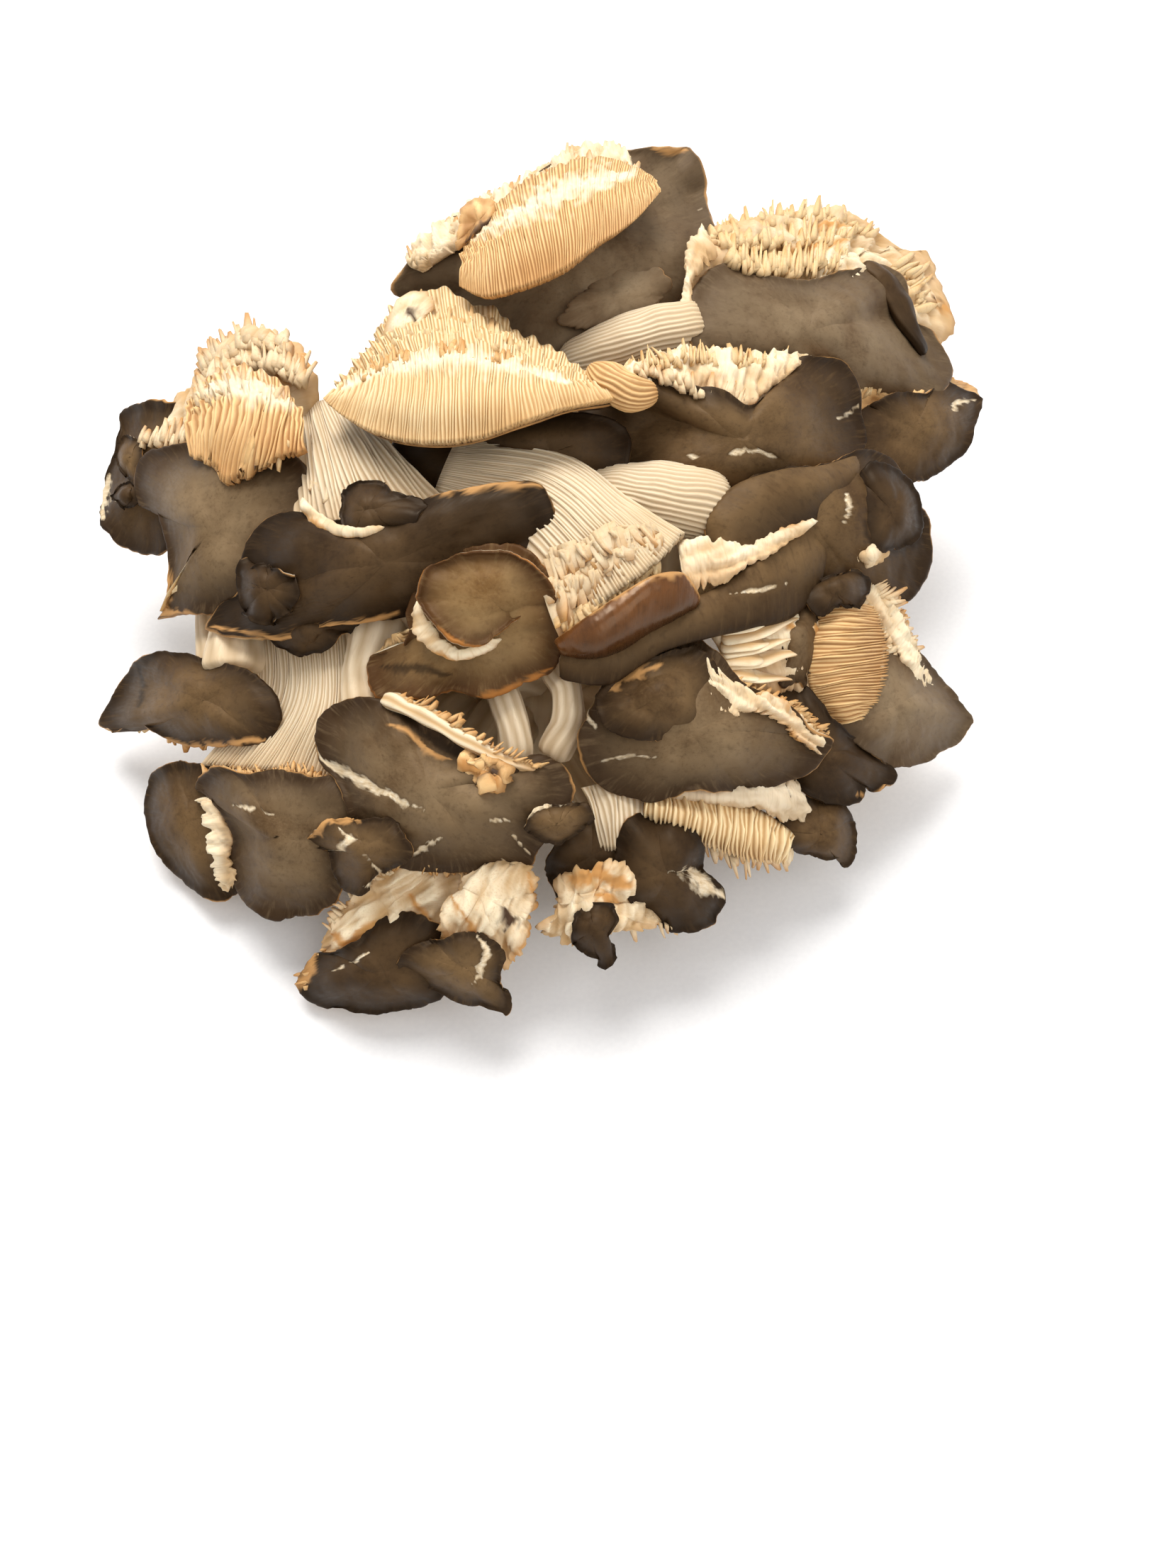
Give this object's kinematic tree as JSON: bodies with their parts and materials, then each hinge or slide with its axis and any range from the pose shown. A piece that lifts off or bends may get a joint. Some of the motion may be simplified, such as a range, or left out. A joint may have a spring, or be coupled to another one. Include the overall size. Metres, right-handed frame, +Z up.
{
  "type": "oyster mushroom cluster",
  "caption": "Cluster of oyster mushrooms with brown wavy caps, cream gills and torn edges, in a dome of overlapping fans on joined stems.",
  "frame": {"origin": "middle of the flat cut end of the joined stems, which the cluster stands on", "axes": "+Z up out of the cut end, -Y towards the side with the lowest caps, +X to the right seen from there"},
  "size_m": [0.2215, 0.1869, 0.1022],
  "materials": {
    "skin_brown": "satin mushroom skin, mid brown with fine streaks",
    "skin_dark": "satin mushroom skin, dark brown",
    "skin_grey": "matt mushroom skin, grey brown",
    "skin_chestnut": "glossy mushroom skin, chestnut",
    "gill_cream": "matt gills and torn flesh, cream to tan",
    "stem_cream": "matt fibrous stems, cream"
  },
  "bodies": {
    "root": {"base_clump": "stem_cream", "cap_front_small": "skin_brown", "cap_lowest_mid": "skin_brown", "gills_lowest_mid": "gill_cream", "gills_lapel": "gill_cream", "cap_front": "skin_brown", "gills_front": "gill_cream", "cap_chestnut": "skin_chestnut", "gills_chestnut": "gill_cream", "cap_round": "skin_brown", "gills_round": "gill_cream", "cap_front_right": "skin_brown", "gills_front_right": "gill_cream", "cap_upturned": "skin_brown", "gills_upturned": "gill_cream", "cap_long": "skin_brown", "gills_long": "gill_cream", "cap_dark_left": "skin_dark", "gills_dark_left": "gill_cream", "cap_oval": "skin_dark", "gills_oval": "gill_cream", "gills_left_tongue": "gill_cream", "gills_torn": "gill_cream", "cap_centre_right": "skin_brown", "gills_centre_right": "gill_cream", "cap_left_front": "skin_brown", "gills_left_front": "gill_cream", "cap_curled": "skin_brown", "gills_curled": "gill_cream", "gills_wedge": "gill_cream", "cap_lowest": "skin_dark", "gills_lowest": "gill_cream", "cap_right_low": "skin_grey", "gills_right_low": "gill_cream", "cap_left": "skin_brown", "gills_left": "gill_cream", "cap_left_low": "skin_dark", "gills_left_low": "gill_cream", "cap_upper_right": "skin_grey", "gills_upper_right": "gill_cream", "cap_low_right": "skin_dark", "gills_low_right": "gill_cream", "cap_left_edge": "skin_brown", "gills_left_edge": "gill_cream", "cap_dark_lobes": "skin_dark", "cap_small_low": "skin_grey", "cap_far_right": "skin_grey", "gills_far_right": "gill_cream", "cap_shaded": "skin_dark", "cap_low_back": "skin_dark", "cap_crown": "skin_grey", "gills_crown": "gill_cream", "cap_left_back": "skin_brown", "gills_left_back": "gill_cream", "cap_back_left": "skin_brown", "gills_back_left": "gill_cream", "cap_back": "skin_brown", "gills_back": "gill_cream", "cap_back_right": "skin_grey", "gills_back_right": "gill_cream"}
  },
  "joints": []
}
